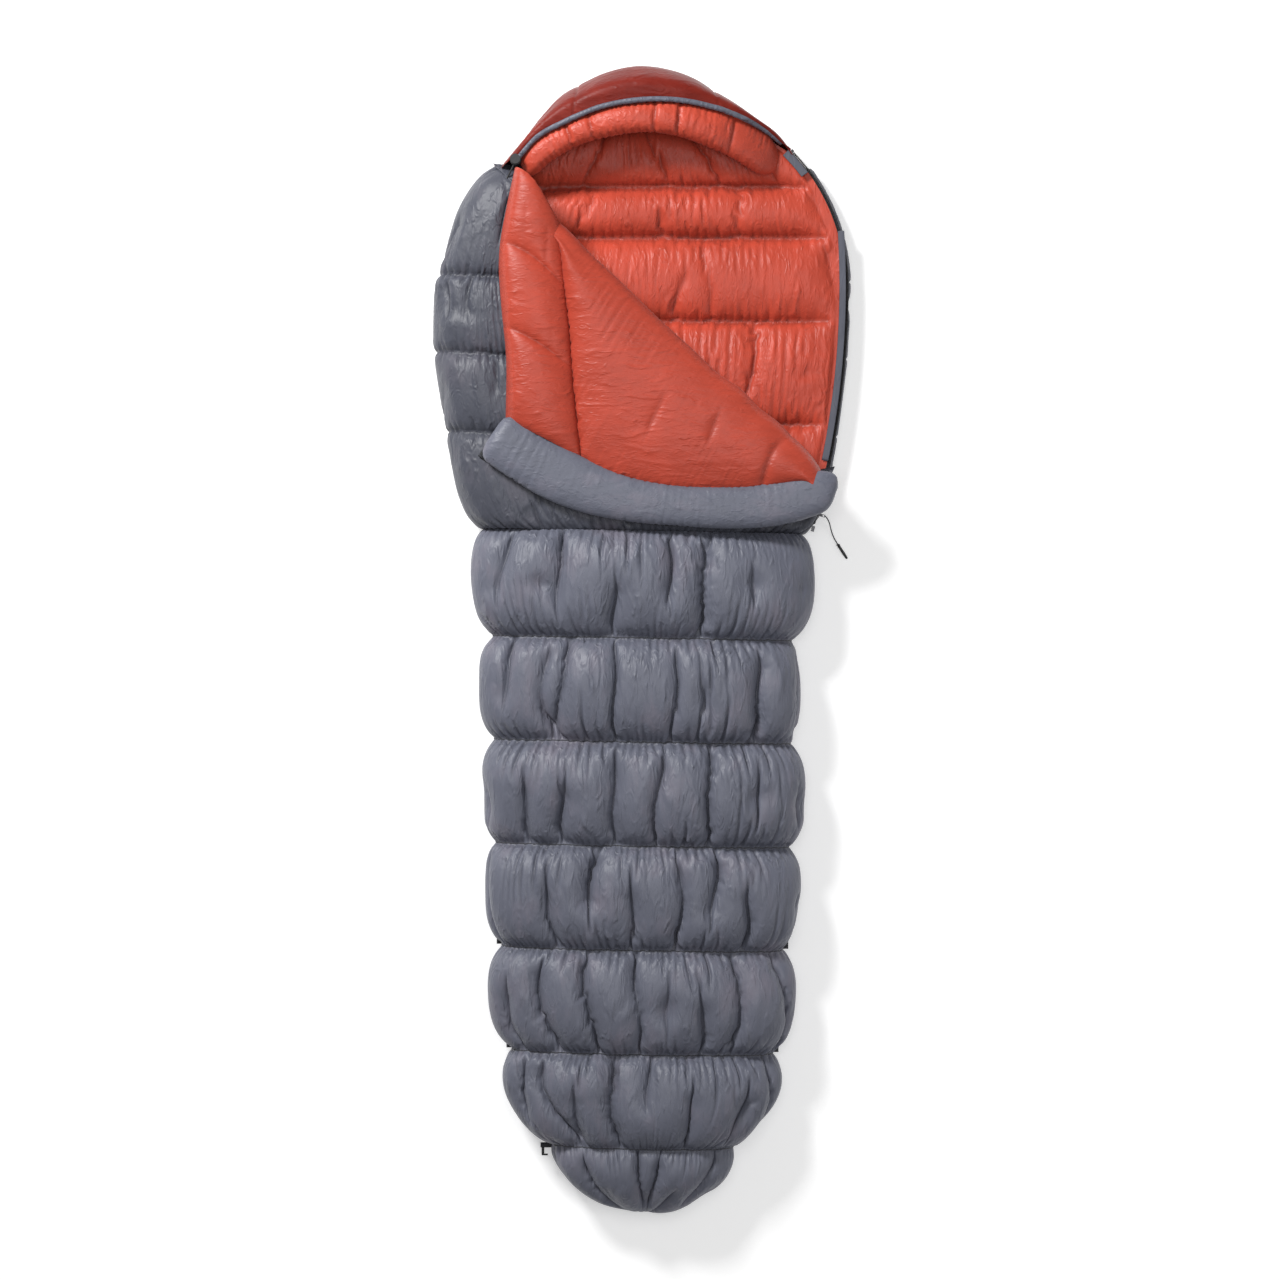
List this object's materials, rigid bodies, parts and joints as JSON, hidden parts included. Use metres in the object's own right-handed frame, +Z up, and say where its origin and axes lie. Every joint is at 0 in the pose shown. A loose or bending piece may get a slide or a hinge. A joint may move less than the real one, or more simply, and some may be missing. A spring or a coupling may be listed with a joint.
{
  "type": "mummy sleeping bag",
  "caption": "Quilted mummy sleeping bag with gathered cross seams, a drawcord hood, a side zip and its unzipped corner folded back to show the lining.",
  "frame": {"origin": "on the ground under the middle of the bag", "axes": "+Y towards the head, +X towards the zip side, +Z up out of the front"},
  "size_m": [0.7626, 2.1029, 0.1591],
  "materials": {
    "shell_nylon": "soft sheen",
    "lining_nylon": "soft sheen",
    "hood_nylon": "soft sheen",
    "fill": "matte",
    "facing_nylon": "satin",
    "binding_tape": "satin",
    "elastic": "matte",
    "black_cord": "woven",
    "black_plastic": "matte",
    "spring_steel": "bright",
    "zip_tape": "woven",
    "zip_coil": "satin",
    "dark_metal": "satin",
    "webbing": "woven"
  },
  "bodies": {
    "bag": {"back_fill_1": "fill", "back_fill_10": "fill", "back_fill_2": "fill", "back_fill_3": "fill", "back_fill_4": "fill", "back_fill_5": "fill", "back_fill_6": "fill", "back_fill_7": "fill", "back_fill_8": "fill", "back_fill_9": "fill", "back_lining": "lining_nylon", "back_shell": "shell_nylon", "cord_lock_body": "black_plastic", "cord_lock_spring": "spring_steel", "draft_collar": "lining_nylon", "footbox_fill": "fill", "footbox_shell": "shell_nylon", "front_fill_1": "fill", "front_fill_10": "fill", "front_fill_2": "fill", "front_fill_3": "fill", "front_fill_4": "fill", "front_fill_5": "fill", "front_fill_6": "fill", "front_fill_7": "fill", "front_fill_8": "fill", "front_fill_9": "fill", "front_lining": "lining_nylon", "front_shell": "shell_nylon", "head_fill": "fill", "hood_binding": "binding_tape", "hood_drawcord": "black_cord", "hood_fill_centre": "fill", "hood_fill_left": "fill", "hood_fill_right": "fill", "hood_lining": "lining_nylon", "hood_shell_centre": "hood_nylon", "hood_shell_left": "hood_nylon", "hood_shell_right": "hood_nylon", "length_loops": "webbing", "seam_elastics": "elastic", "zip_coil_back": "zip_coil", "zip_facings": "facing_nylon", "zip_stops": "zip_coil", "zip_tape_back": "zip_tape"},
    "flap": {"flap_collar": "lining_nylon", "flap_fill_1": "fill", "flap_fill_2": "fill", "flap_fill_3": "fill", "flap_lining": "lining_nylon", "flap_shell": "shell_nylon", "zip_draft_tube": "facing_nylon", "zip_tape_front": "zip_tape", "zip_coil_front": "zip_coil"},
    "slider": {"slider_body": "dark_metal"},
    "pull": {"slider_tab": "dark_metal", "pull_cord": "black_cord", "pull_grip": "black_plastic"},
    "lock_button": {"cord_lock_button": "black_plastic"},
    "hook": {"foot_hook": "black_plastic"}
  },
  "joints": [
    {"name": "flap_fold", "type": "hinge", "parent": "bag", "child": "flap", "pos_m": [0.0575, 0.5375, 0.119], "axis": [-0.7071, 0.7071, 0], "range_deg": [0, 179]},
    {"name": "slider_run", "type": "hinge", "parent": "bag", "child": "slider", "pos_m": [-1.237, 0.65, 0.041], "axis": [0, 0, 1], "range_deg": [0, 14.9]},
    {"name": "pull_swing", "type": "hinge", "parent": "slider", "child": "pull", "pos_m": [0.32293, 0.22801, 0.0486], "axis": [-0.2611, -0.9653, 0], "range_deg": [0, 40]},
    {"name": "cord_lock_press", "type": "slide", "parent": "bag", "child": "lock_button", "axis": [0, 0, -1], "range_m": [0, 0.004], "stiffness_N_per_m": 300, "springref_m": -0.003, "deforming": ["cord_lock_spring"]},
    {"name": "hook_swing", "type": "hinge", "parent": "bag", "child": "hook", "pos_m": [-0.184, -0.936, 0.034], "axis": [0, 0, 1], "range_deg": [-35, 35]}
  ]
}
